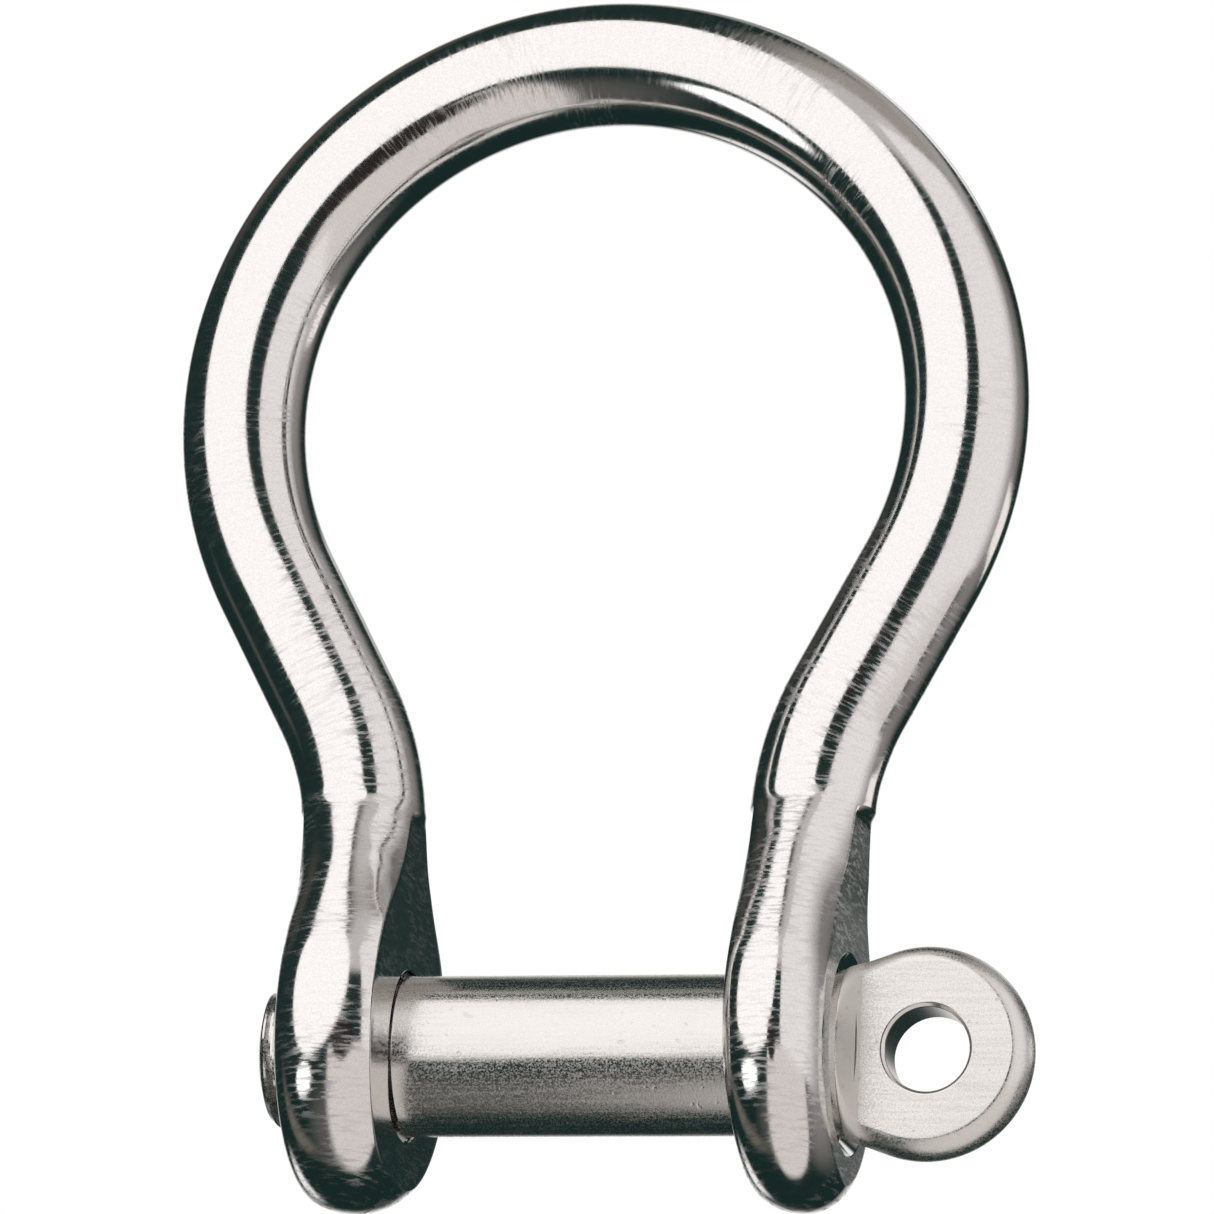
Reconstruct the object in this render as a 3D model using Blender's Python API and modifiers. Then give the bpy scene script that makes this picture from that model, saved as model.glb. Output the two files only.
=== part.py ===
"""Bow shackle for sailing gear: a bent round bar with two pressed ears, closed by a screw pin.

The origin is on the pin's axis, midway between the ears. +X runs along the pin towards its eye,
+Z runs up to the crown of the bow, and the shackle lies in the XZ plane. Lengths are in metres.
"""

import math

import bmesh
import bpy

# The bow: a round bar bent in one plane. Each bend is (radius of the centreline, degrees).
BAR_RADIUS = 0.002475
CROWN_HEIGHT = 0.04062
CROWN_BEND = (0.01486, 54.8)
SIDE_BEND = (0.01434, 63.2)
LEG_LENGTH = 0.0057
NECK_BEND = (0.01134, 22.2)

# The ears: the ends of the bar, pressed flat on both faces. The threaded one is the thicker.
CLEARANCE_EAR = (0.00702, 0.01086)  # distance of its inner and outer faces from mid-jaw
THREADED_EAR = (0.00684, 0.01094)
EAR_RADIUS = 0.00695
EAR_RISE = 0.00035  # widest level of the ear above the pin's axis
EAR_FOOT = 0.00655  # from the widest level down to the foot
EAR_TAPER = math.radians(29.5)
EAR_NECK_RADIUS = 0.0014  # hollow curve where the ear widens out of the bar
NECK_LEAD = 0.0022  # length over which the round bar turns upright above the ear
EAR_FOOT_INSET = 0.0010
# From the rim's peak in to the flat, and how far the rim turns there: inner side, outer side.
CLEARANCE_RIM = ((0.00100, math.radians(72)), (0.00190, math.radians(60)))
THREADED_RIM = ((0.00060, math.radians(50)), (0.00150, math.radians(80)))
OUTER_LEAN = 0.00030  # how much further out the outer flats stand at the shoulder
INNER_LEAN = 0.00022  # how much further out the inner flats stand at the foot
OUTER_LEAN_LEVEL = 0.0064  # heights at which the leans start
INNER_LEAN_LEVEL = 0.0
SETTLED_LEVEL = 0.0045  # below this the section has its full pressed shape
SHOULDER_TOP = 0.00980  # the step where the round bar drops to the pressed flats
SHOULDER_FOOT = 0.00925

# The pin: a turned shank with a threaded end, and an eye pressed flat at the other.
PIN_RADIUS = 0.003175
TIP_X = -0.01245
TIP_RADIUS = 0.00195
TIP_CHAMFER = 0.00060
TIP_ROUNDING = (1 / 3, 0.6)  # a point on the blunt chamfer, as shares of its length and height
THREAD_RADIUS = 0.00295
THREAD_DEPTH = 0.00045
THREAD_PITCH = 0.00127
THREAD_END_X = -0.00705
SHANK_CHAMFER = 0.00025
SLOPE_START_X = 0.01093  # the shank slopes down to the eye's flats
SLOPE_END_X = 0.01155
EYE_THICKNESS = 0.0024
EYE_X = 0.01400  # centre of the eye's round end, and EYE_HOLE_X is that of its hole
EYE_RADIUS = 0.00425
EYE_TAPER = math.radians(20)
EYE_NECK_RADIUS = 0.0010
EYE_RIM_BEND = math.radians(78)
EYE_INSET = 0.00069
EYE_HOLE_X = 0.01417
EYE_HOLE_RADIUS = 0.00168
EYE_HOLE_CHAMFER = 0.00012

# The finishes: base colour and roughness.
BOW_FINISH = ((0.74, 0.73, 0.71), 0.12)
PIN_FINISH = ((0.66, 0.64, 0.61), 0.28)

# The holes in the ears clear the pin all round, so that it also draws straight out.
CLEARANCE_RADIUS = 0.00342
CLEARANCE_COUNTERSINK = 0.00055
THREADED_RADIUS = 0.00320
HOLE_CHAMFER = 0.00020
GROOVE_DEPTH = 0.00035
GROOVE_MOUTH = 0.84  # width of a screw groove at the crests, as a share of the pitch

# How finely the curved surfaces are divided.
RIM_STEPS = 8  # across each rim, from crease to crease
FACE_STEPS = 2  # across each flat
ROUND_RIM = math.radians(60)  # share of a round section that the rim's steps cover, each side
STEEPEST_CREASE = 0.98  # of the bar's radius, the furthest out that a flat can cut it
BEND_STEP = math.radians(6)
EYE_STEP = math.radians(10)
NECK_STEPS = 6
TAPER_STEPS = 6
SHANK_SHARES = (0.0, 0.5, 1.0)  # sections along the shank, as its rims close up
SLOPE_SHARES = (0.15, 0.35, 0.55, 0.8, 1.0)  # sections down the slopes to the eye's flats
HOLE_STEPS = 40
THREAD_STEPS = 24
SHARP_ANGLE = math.radians(30)  # steeper edges are shaded sharp
MERGE = 1e-6


def mix(first, second, share):
    return first + (second - first) * share


def ramp(start, end, value):
    """A smooth rise from 0 at start to 1 at end, where end may be the smaller."""
    share = min(max((value - start) / (end - start), 0.0), 1.0)
    return share * share * (3 - 2 * share)


class Path:
    """A plane curve of straight runs and arcs. Its left-hand normal is the outward side."""

    def __init__(self, start, heading):
        self.runs = []
        self.end = (*start, heading)
        self.length = 0.0

    def add(self, length, turn):
        self.runs.append((self.length, length, turn, self.end))
        self.length += length
        self.end = self.at(self.length)
        return self

    def line(self, length):
        return self.add(length, 0.0)

    def arc(self, radius, turn):
        return self.add(radius * abs(turn), turn)

    def at(self, station):
        """(x, y, heading) at an arc length along the path."""
        begun, length, turn, (x, y, heading) = [r for r in self.runs if r[0] <= station][-1]
        gone = station - begun
        if not turn:
            return x + gone * math.cos(heading), y + gone * math.sin(heading), heading
        radius = length / turn
        after = heading + gone / radius
        x += radius * (math.sin(after) - math.sin(heading))
        y -= radius * (math.cos(after) - math.cos(heading))
        return x, y, after

    def station_at(self, y):
        """The arc length at which a path that runs steadily down has come to y."""
        low, high = 0.0, self.length
        for _ in range(50):
            middle = (low + high) / 2
            if self.at(middle)[1] > y:
                low = middle
            else:
                high = middle
        return low


def bow_path():
    """The bar's centreline in X and Z, from the crown down the +X leg to the neck."""
    path = Path((0.0, CROWN_HEIGHT), 0.0)
    path.arc(CROWN_BEND[0], -math.radians(CROWN_BEND[1]))
    path.arc(SIDE_BEND[0], -math.radians(SIDE_BEND[1]))
    path.line(LEG_LENGTH)
    path.arc(NECK_BEND[0], math.radians(NECK_BEND[1]))
    return path.line(BAR_RADIUS)


def eye_outline(bar_radius, radius, centre, taper, neck_radius, lead=0.0):
    """Half the outline of a flattened end, in width and height, running down from the bar.

    It runs down the bar's side for the length lead, widens through a hollow curve, runs straight
    at the taper's angle, and goes round a circle about (0, centre) to its foot.
    """
    meeting = centre + (radius - bar_radius * math.cos(taper)) / math.sin(taper)
    hollow = neck_radius * math.tan(taper / 2)
    tangent = centre + radius * math.sin(taper)
    path = Path((bar_radius, meeting + hollow + lead), -math.pi / 2)
    path.line(lead)
    path.arc(neck_radius, taper)
    path.line((meeting - tangent) / math.cos(taper) - hollow)
    return path.arc(radius, -taper - math.pi / 2)


class Side:
    """One side of a rim's profile: a piece of an ellipse from the rim's peak to a crease."""

    def __init__(self, reach, inset, bend):
        self.reach = reach  # through the thickness, from the peak to the crease
        self.inset = inset  # inwards, from the peak to the crease
        self.bend = bend

    def inwards(self, angle):
        return self.inset * (1 - math.cos(angle)) / (1 - math.cos(self.bend))

    def through(self, angle):
        return self.reach * math.sin(angle) / math.sin(self.bend)


def round_side(width, radius, bend):
    return Side(radius * math.sin(bend), width * (1 - math.cos(bend)), bend)


def ring(width, tilt, upper, lower, flat):
    """One closed section as (along, across, through) points, half as wide as width at its rims.

    The rims' profiles are turned by tilt towards the bar, and flat is 0 where the faces between
    the creases follow the round bar and 1 where they are pressed flat.
    """
    front = []
    half = RIM_STEPS // 2
    for step in range(half, -half - 1, -1):
        side, sign = (upper, 1) if step > 0 else (lower, -1)
        angle = side.bend * abs(step) / half
        inwards = side.inwards(angle)
        along = inwards * math.sin(tilt)
        front.append((along, width - inwards * math.cos(tilt), sign * side.through(angle)))
    back = [(along, -across, through) for along, across, through in reversed(front)]

    def face(side, sign, edge):
        points = []
        for step in range(1, FACE_STEPS):
            share = step / FACE_STEPS
            angle = mix(side.bend, math.pi - side.bend, share)
            across = mix(width * math.cos(angle), mix(edge[1], -edge[1], share), flat)
            through = mix(side.through(angle), side.reach, flat)
            points.append((edge[0], across, sign * through))
        return points

    under = face(lower, -1, front[-1])
    over = face(upper, 1, front[0])
    return front + under + back + [(a, -w, t) for a, w, t in over]


def loft(name, rings, cap_start):
    """A surface through rings of equal count. A last ring that has closed up on itself is merged."""
    mesh = bmesh.new()
    rows = [[mesh.verts.new(point) for point in points] for points in rings]
    for upper, lower in zip(rows, rows[1:]):
        for k in range(len(upper)):
            after = (k + 1) % len(upper)
            mesh.faces.new((upper[k], upper[after], lower[after], lower[k]))
    if cap_start:
        mesh.faces.new(rows[0])
    bmesh.ops.remove_doubles(mesh, verts=mesh.verts, dist=MERGE)
    bmesh.ops.recalc_face_normals(mesh, faces=mesh.faces)
    data = bpy.data.meshes.new(name)
    mesh.to_mesh(data)
    mesh.free()
    return bpy.data.objects.new(name, data)


def bow_stations(path, end):
    """Arc lengths down the path, at most one bend step apart, from the crown to end."""
    stations = [0.0]
    for begun, length, turn, _ in path.runs:
        stop = min(begun + length, end)
        count = max(2, math.ceil(abs(turn) * (stop - begun) / length / BEND_STEP))
        stations += [mix(begun, stop, k / count) for k in range(1, count + 1) if stop > begun]
    return stations


def ear_ring(outline, station, path, planes, rims, flat):
    """A section of the neck or the ear at an arc length down the ear's outline.

    Below its widest level the outline is squashed, so that it ends at the ear's foot.
    """
    width, height, heading = outline.at(station)
    normal = heading + math.pi / 2
    if height < EAR_RISE:
        height = EAR_RISE - (EAR_RISE - height) * EAR_FOOT / EAR_RADIUS
        normal = math.atan2(math.sin(normal) * EAR_RADIUS, math.cos(normal) * EAR_FOOT)
    inner_plane = planes[0] + INNER_LEAN * ramp(INNER_LEAN_LEVEL, -EAR_FOOT, height)
    outer_plane = planes[1] + OUTER_LEAN * ramp(OUTER_LEAN_LEVEL, SHOULDER_TOP, height)
    x, _, path_heading = path.at(path.station_at(height))
    in_ear = ramp(SHOULDER_FOOT, SETTLED_LEVEL, height)
    middle = mix(x, (inner_plane + outer_plane) / 2, in_ear)
    upright = ramp(outline.at(0.0)[1], SHOULDER_TOP, height)
    lean = (path_heading + math.pi / 2) * (1 - upright)
    tilt = normal * ramp(SHOULDER_FOOT, SHOULDER_FOOT - BAR_RADIUS / 2, height)
    sides = []
    reaches = (outer_plane - middle, middle - inner_plane)
    for reach, (inset, rim_bend) in zip(reaches, reversed(rims)):
        bend = math.asin(min(reach / BAR_RADIUS, STEEPEST_CREASE))
        if not flat:
            sides.append(round_side(width, BAR_RADIUS, mix(ROUND_RIM, bend, upright)))
            continue
        round_inset = width * (1 - math.cos(bend))
        ear_inset = mix(EAR_FOOT_INSET, inset, max(math.cos(normal), 0.0))
        sides.append(Side(reach, mix(round_inset, ear_inset, in_ear), mix(bend, rim_bend, in_ear)))
    points = []
    for along, across, through in ring(width, tilt, *sides, flat):
        world_x = middle + through * math.cos(lean) + along * math.sin(lean)
        world_z = height + through * math.sin(lean) - along * math.cos(lean)
        points.append((world_x, -across, world_z))
    return points


def leg_rings(planes, rims):
    """Sections of half the bow, from the crown down the +X leg to the foot of its pressed ear."""
    path = bow_path()
    outline = eye_outline(BAR_RADIUS, EAR_RADIUS, EAR_RISE, EAR_TAPER, EAR_NECK_RADIUS, NECK_LEAD)
    neck_top = path.station_at(outline.at(0.0)[1] + BAR_RADIUS / 4)
    side = round_side(BAR_RADIUS, BAR_RADIUS, ROUND_RIM)
    rings = []
    for station in bow_stations(path, neck_top):
        x, z, heading = path.at(station)
        points = []
        for _, across, through in ring(BAR_RADIUS, 0.0, side, side, 0.0):
            points.append((x - through * math.sin(heading), -across, z + through * math.cos(heading)))
        rings.append(points)
    shoulder_top = outline.station_at(SHOULDER_TOP)
    shoulder_foot = outline.station_at(SHOULDER_FOOT)
    taper_end, round_length, _, _ = outline.runs[-1]
    for k in range(NECK_STEPS + 1):
        station = shoulder_top * k / NECK_STEPS
        rings.append(ear_ring(outline, station, path, planes, rims, 0.0))
    for k in range(TAPER_STEPS + 1):
        station = mix(shoulder_foot, taper_end, k / TAPER_STEPS)
        rings.append(ear_ring(outline, station, path, planes, rims, 1.0))
    count = round(round_length / EAR_RADIUS / EYE_STEP)
    for k in range(1, count + 1):
        station = mix(taper_end, outline.length, k / count)
        rings.append(ear_ring(outline, station, path, planes, rims, 1.0))
    return rings


def bow_solid():
    """The whole bow in one piece, from the foot of the threaded ear over the crown to the other."""
    threaded = []
    for points in leg_rings(THREADED_EAR, THREADED_RIM):
        threaded.append([(-x, y, z) for x, y, z in points])
    return loft("bow_body", threaded[:0:-1] + leg_rings(CLEARANCE_EAR, CLEARANCE_RIM), cap_start=False)


def pin_ring(width, x, tilt, side, flat):
    return [(x + along, -through, across) for along, across, through in ring(width, tilt, side, side, flat)]


def pin_solid():
    """The pin along X: its turned shank, the slopes cut down to the eye, and the eye."""
    turned = (
        (TIP_X, TIP_RADIUS),
        (TIP_X + TIP_CHAMFER * TIP_ROUNDING[0], mix(TIP_RADIUS, THREAD_RADIUS, TIP_ROUNDING[1])),
        (TIP_X + TIP_CHAMFER, THREAD_RADIUS),
        (THREAD_END_X, THREAD_RADIUS),
        (THREAD_END_X + SHANK_CHAMFER, PIN_RADIUS),
    )
    rings = []
    for x, radius in turned:
        rings.append(pin_ring(radius, x, 0.0, round_side(radius, radius, ROUND_RIM), 0.0))
    outline = eye_outline(PIN_RADIUS, EYE_RADIUS, -EYE_X, EYE_TAPER, EYE_NECK_RADIUS)
    slope_start = outline.station_at(-SLOPE_START_X)
    for share in SHANK_SHARES:
        width, height, _ = outline.at(share * slope_start)
        bend = mix(ROUND_RIM, math.pi / 2, share)
        rings.append(pin_ring(width, -height, 0.0, round_side(width, PIN_RADIUS, bend), 0.0))
    last_crease = math.asin(EYE_THICKNESS / 2 / PIN_RADIUS)
    for share in SLOPE_SHARES:
        reach = PIN_RADIUS * math.sin(mix(math.pi / 2, last_crease, share))
        down = (PIN_RADIUS - reach) / (PIN_RADIUS - EYE_THICKNESS / 2)
        x = mix(SLOPE_START_X, SLOPE_END_X, down)
        width = outline.at(outline.station_at(-x))[0]
        crease = math.sqrt(PIN_RADIUS**2 - reach**2)
        side = Side(reach, width - crease, mix(math.pi / 2, EYE_RIM_BEND, share))
        rings.append(pin_ring(width, x, 0.0, side, 1.0))
    start = outline.station_at(-SLOPE_END_X)
    first_inset = side.inset
    count = round((outline.length - start) / EYE_RADIUS / EYE_STEP)
    for k in range(1, count + 1):
        width, height, heading = outline.at(mix(start, outline.length, k / count))
        settled = ramp(SLOPE_END_X, EYE_X - EYE_RADIUS / 3, -height)
        tilt = (heading + math.pi / 2) * settled
        side = Side(EYE_THICKNESS / 2, mix(first_inset, EYE_INSET, settled), EYE_RIM_BEND)
        rings.append(pin_ring(width, -height, tilt, side, 1.0))
    return loft("screw_pin", rings, cap_start=True)


def turned_cutter(name, profile, collection):
    """A turned solid about Z, from (radius, height) points that run down its outer side."""
    mesh = bmesh.new()
    ends = [(0.0, profile[0][1]), *profile, (0.0, profile[-1][1])]
    verts = [mesh.verts.new((radius, 0.0, height)) for radius, height in ends]
    for first, second in zip(verts, verts[1:]):
        mesh.edges.new((first, second))
    data = bpy.data.meshes.new(name)
    mesh.to_mesh(data)
    mesh.free()
    cutter = bpy.data.objects.new(name, data)
    add_screw(cutter, HOLE_STEPS, 1, 0.0)
    return as_cutter(cutter, collection)


def add_screw(obj, steps, turns, pitch):
    screw = obj.modifiers.new("Turn", "SCREW")
    screw.steps = steps
    screw.render_steps = steps
    screw.iterations = turns
    screw.screw_offset = pitch
    screw.use_merge_vertices = True
    screw.merge_threshold = MERGE


def as_cutter(obj, collection):
    collection.objects.link(obj)
    obj.hide_render = True
    obj.display_type = "WIRE"
    return obj


def hole_cutter(name, low, high, radius, low_chamfer, high_chamfer, collection):
    """A through hole's cutter about Z with a 45-degree chamfer at each face, low and high."""
    beyond = radius / 4
    profile = (
        (radius + high_chamfer + beyond, high + beyond),
        (radius, high - high_chamfer),
        (radius, low + low_chamfer),
        (radius + low_chamfer + beyond, low - beyond),
    )
    return turned_cutter(name, profile, collection)


def groove_cutter(name, start, turns, crest, root, collection):
    """A right-hand screw groove's cutter about Z, as a closed coil of triangular section."""
    over = crest + (crest - root) / 4
    mouth = THREAD_PITCH * GROOVE_MOUTH / 2
    mesh = bmesh.new()
    verts = [mesh.verts.new((over, 0.0, start - mouth))]
    verts.append(mesh.verts.new((over, 0.0, start + mouth)))
    verts.append(mesh.verts.new((root, 0.0, start)))
    for k in range(3):
        mesh.edges.new((verts[k], verts[(k + 1) % 3]))
    data = bpy.data.meshes.new(name)
    mesh.to_mesh(data)
    mesh.free()
    guide = bpy.data.objects.new(name + "_guide", data)
    add_screw(guide, THREAD_STEPS, turns, THREAD_PITCH)
    guide.modifiers["Turn"].use_merge_vertices = False
    collection.objects.link(guide)
    bpy.context.view_layer.update()
    coil = bpy.data.meshes.new_from_object(guide.evaluated_get(bpy.context.evaluated_depsgraph_get()))
    bpy.data.objects.remove(guide)
    ends = bmesh.new()
    ends.from_mesh(coil)
    bmesh.ops.holes_fill(ends, edges=[edge for edge in ends.edges if edge.is_boundary])
    bmesh.ops.recalc_face_normals(ends, faces=ends.faces)
    ends.to_mesh(coil)
    ends.free()
    return as_cutter(bpy.data.objects.new(name, coil), collection)


def cut(target, cutter):
    boolean = target.modifiers.new(cutter.name, "BOOLEAN")
    boolean.operation = "DIFFERENCE"
    boolean.object = cutter


def steel(name, colour, roughness):
    material = bpy.data.materials.new(name)
    material.use_nodes = True
    shader = material.node_tree.nodes["Principled BSDF"]
    shader.inputs["Base Color"].default_value = (*colour, 1.0)
    shader.inputs["Metallic"].default_value = 1.0
    shader.inputs["Roughness"].default_value = roughness
    return material


def collection_named(name):
    collection = bpy.data.collections.new(name)
    bpy.context.scene.collection.children.link(collection)
    return collection


def finish(obj, material, collection):
    collection.objects.link(obj)
    obj.data.materials.append(material)
    obj.data.shade_smooth()
    obj.data.set_sharp_from_angle(angle=SHARP_ANGLE)


def build_bow(parts, cutters):
    bow = bow_solid()
    finish(bow, steel("polished_steel", *BOW_FINISH), parts)
    right = hole_cutter("clearance_hole", *CLEARANCE_EAR, CLEARANCE_RADIUS,
                        HOLE_CHAMFER, CLEARANCE_COUNTERSINK, cutters)
    inner, outer = THREADED_EAR
    left = hole_cutter("threaded_hole", -outer, -inner, THREADED_RADIUS,
                       HOLE_CHAMFER, HOLE_CHAMFER, cutters)
    turns = math.ceil((outer - inner) / THREAD_PITCH) + 2
    groove = groove_cutter("ear_groove", -outer - THREAD_PITCH, turns,
                           THREADED_RADIUS, THREADED_RADIUS + GROOVE_DEPTH, cutters)
    for cutter in (right, left, groove):
        cutter.rotation_euler.y = math.pi / 2
        cut(bow, cutter)


def build_pin(parts, cutters):
    pin = pin_solid()
    finish(pin, steel("satin_steel", *PIN_FINISH), parts)
    turns = math.floor((THREAD_END_X - TIP_X) / THREAD_PITCH)
    groove = groove_cutter("pin_groove", TIP_X - THREAD_PITCH / 2, turns,
                           THREAD_RADIUS, THREAD_RADIUS - THREAD_DEPTH, cutters)
    groove.rotation_euler.y = math.pi / 2
    eye = hole_cutter("eye_hole", -EYE_THICKNESS / 2, EYE_THICKNESS / 2, EYE_HOLE_RADIUS,
                      EYE_HOLE_CHAMFER, EYE_HOLE_CHAMFER, cutters)
    eye.rotation_euler.x = math.pi / 2
    eye.location.x = EYE_HOLE_X
    for cutter in (groove, eye):
        cut(pin, cutter)


def main():
    for obj in list(bpy.data.objects):
        bpy.data.objects.remove(obj)
    parts = collection_named("bow_shackle")
    cutters = collection_named("cutters")
    build_bow(parts, cutters)
    build_pin(parts, cutters)


main()
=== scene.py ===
"""The looks of the bow shackle: its bent bar and its screw pin as fine meshes, and its finishes.

Both pieces repeat the CAD's driving dimensions, because they can't be read from the frame. The
origin is on the pin's axis, midway between the ears; +X runs to the pin's eye and +Z to the crown.
Lengths are in metres.
"""

import math

import bmesh
import bpy
from mathutils import Matrix, Vector


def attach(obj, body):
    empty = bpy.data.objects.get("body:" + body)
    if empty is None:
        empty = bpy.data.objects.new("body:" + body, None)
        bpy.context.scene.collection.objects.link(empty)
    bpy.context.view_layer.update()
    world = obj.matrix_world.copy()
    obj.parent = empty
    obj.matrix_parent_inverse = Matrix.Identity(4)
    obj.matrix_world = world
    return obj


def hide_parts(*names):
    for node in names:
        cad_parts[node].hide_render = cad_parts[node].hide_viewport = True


# The bow: a round bar bent in one plane. Each bend is (radius of the centreline, degrees).
BAR_RADIUS = 0.002475
CROWN_HEIGHT = 0.04062
CROWN_BEND = (0.01486, 54.8)
SIDE_BEND = (0.01434, 63.2)
LEG_LENGTH = 0.0057
NECK_BEND = (0.01134, 22.2)

# The ears: the ends of the bar, pressed flat on both faces. The threaded one is the thicker.
CLEARANCE_EAR = (0.00702, 0.01086)  # distance of its inner and outer faces from mid-jaw
THREADED_EAR = (0.00684, 0.01094)
EAR_RADIUS = 0.00695
EAR_RISE = 0.00035  # widest level of the ear above the pin's axis
EAR_FOOT = 0.00655  # from the widest level down to the foot
EAR_TAPER = math.radians(29.5)
EAR_NECK_RADIUS = 0.0014
NECK_LEAD = 0.0022  # length over which the round bar turns upright above the ear
EAR_FOOT_INSET = 0.0010
# From the rim's peak in to the flat, and how far the rim turns there: inner side, outer side.
CLEARANCE_RIM = ((0.00100, math.radians(72)), (0.00190, math.radians(60)))
THREADED_RIM = ((0.00060, math.radians(50)), (0.00150, math.radians(80)))
OUTER_LEAN = 0.00030  # how much further out the outer flats stand at the shoulder
INNER_LEAN = 0.00022  # how much further out the inner flats stand at the foot
OUTER_LEAN_LEVEL = 0.0064
INNER_LEAN_LEVEL = 0.0
SETTLED_LEVEL = 0.0045  # below this the section has its full pressed shape
SHOULDER_TOP = 0.00980
SHOULDER_FOOT = 0.00925
# Arc lengths from the crown, down the bar, at which the ears widen and the flats begin.
NECK_STATION = 0.0397
SHOULDER_STATION = 0.0409

# The pin: a turned shank with a threaded end, and an eye pressed flat at the other.
PIN_RADIUS = 0.003175
TIP_X = -0.01245
TIP_RADIUS = 0.00195
TIP_CHAMFER = 0.00060
TIP_ROUNDING = (1 / 3, 0.6)  # a point on the blunt chamfer, as shares of its length and height
THREAD_RADIUS = 0.00295
TIP_ROUND_X = TIP_X + TIP_CHAMFER * TIP_ROUNDING[0]
TIP_ROUND_RADIUS = TIP_RADIUS + (THREAD_RADIUS - TIP_RADIUS) * TIP_ROUNDING[1]
THREAD_DEPTH = 0.00045
THREAD_PITCH = 0.00127
THREAD_END_X = -0.00705
SHANK_CHAMFER = 0.00025
SLOPE_START_X = 0.01093
SLOPE_END_X = 0.01155
EYE_THICKNESS = 0.0024
EYE_X = 0.01400
EYE_RADIUS = 0.00425
EYE_TAPER = math.radians(20)
EYE_NECK_RADIUS = 0.0010
EYE_RIM_BEND = math.radians(78)
EYE_INSET = 0.00069
EYE_HOLE_X = 0.01417
EYE_HOLE_RADIUS = 0.00168
EYE_HOLE_CHAMFER = 0.00012

# The holes in the ears.
CLEARANCE_RADIUS = 0.00342
CLEARANCE_COUNTERSINK = 0.00055
THREADED_RADIUS = 0.00320
HOLE_CHAMFER = 0.00020
GROOVE_DEPTH = 0.00035
GROOVE_SLOPES = 0.84  # width of a screw groove's two slopes together, as a share of the pitch
GROOVE_ROOT = 0.12  # width of its flat root, as a share of that

# How finely the surfaces are divided, and how much the pressed edges are softened.
RIM_STEPS = 40
FACE_STEPS = 20
ROUND_RIM = math.radians(60)  # share of a round section that the rim's steps cover, each side
SHANK_END_RIM = math.radians(88)  # the same where the slopes start, just short of closing up
STEEPEST_CREASE = 0.98  # of the bar's radius, the furthest out that a flat can cut it
BEND_STEP = math.radians(1.5)
EYE_STEP = math.radians(2.5)
SHOULDER_STEPS = 12
TAPER_STEPS = 24
SLOPE_STEPS = 12
TIP_STEPS = 3
SHANK_STEPS = 16
SHANK_END_STEPS = 8
LEAST_STEPS = 8  # on a straight run or a short bend
HOLE_STEPS = 144
ROWS_PER_PITCH = 16
SOFT_EDGE = 0.00010
SOFT_STEPS = 4
MOST_SOFT = 0.85  # of a step, the most that a softened edge takes up
MERGE = 1e-6
SHARP = math.radians(15)


def mix(first, second, share):
    return first + (second - first) * share


def ramp(start, end, value):
    """A smooth rise from 0 at start to 1 at end, where end may be the smaller."""
    share = min(max((value - start) / (end - start), 0.0), 1.0)
    return share * share * (3 - 2 * share)


class Path:
    """A plane curve of straight runs and arcs. Its left-hand normal is the outward side."""

    def __init__(self, start, heading):
        self.runs = []
        self.end = (*start, heading)
        self.length = 0.0

    def add(self, length, turn):
        self.runs.append((self.length, length, turn, self.end))
        self.length += length
        self.end = self.at(self.length)
        return self

    def line(self, length):
        return self.add(length, 0.0)

    def arc(self, radius, turn):
        return self.add(radius * abs(turn), turn)

    def at(self, station):
        """(x, y, heading) at an arc length along the path."""
        begun, length, turn, (x, y, heading) = [r for r in self.runs if r[0] <= station][-1]
        gone = station - begun
        if not turn:
            return x + gone * math.cos(heading), y + gone * math.sin(heading), heading
        radius = length / turn
        after = heading + gone / radius
        x += radius * (math.sin(after) - math.sin(heading))
        y -= radius * (math.cos(after) - math.cos(heading))
        return x, y, after

    def station_at(self, y):
        """The arc length at which a path that runs steadily down has come to y."""
        low, high = 0.0, self.length
        for _ in range(50):
            middle = (low + high) / 2
            if self.at(middle)[1] > y:
                low = middle
            else:
                high = middle
        return low


def bow_path():
    """The bar's centreline in X and Z, from the crown down the +X leg to the neck."""
    path = Path((0.0, CROWN_HEIGHT), 0.0)
    path.arc(CROWN_BEND[0], -math.radians(CROWN_BEND[1]))
    path.arc(SIDE_BEND[0], -math.radians(SIDE_BEND[1]))
    path.line(LEG_LENGTH)
    path.arc(NECK_BEND[0], math.radians(NECK_BEND[1]))
    return path.line(BAR_RADIUS)


def eye_outline(bar_radius, radius, centre, taper, neck_radius, lead=0.0):
    """Half the outline of a flattened end, in width and height, running down from the bar."""
    meeting = centre + (radius - bar_radius * math.cos(taper)) / math.sin(taper)
    hollow = neck_radius * math.tan(taper / 2)
    tangent = centre + radius * math.sin(taper)
    path = Path((bar_radius, meeting + hollow + lead), -math.pi / 2)
    path.line(lead)
    path.arc(neck_radius, taper)
    path.line((meeting - tangent) / math.cos(taper) - hollow)
    return path.arc(radius, -taper - math.pi / 2)


class Side:
    """One side of a rim's profile: a piece of an ellipse from the rim's peak to a crease."""

    def __init__(self, reach, inset, bend):
        self.reach = reach
        self.inset = inset
        self.bend = bend

    def inwards(self, angle):
        return self.inset * (1 - math.cos(angle)) / (1 - math.cos(self.bend))

    def through(self, angle):
        return self.reach * math.sin(angle) / math.sin(self.bend)


def round_side(width, radius, bend):
    return Side(radius * math.sin(bend), width * (1 - math.cos(bend)), bend)


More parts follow.
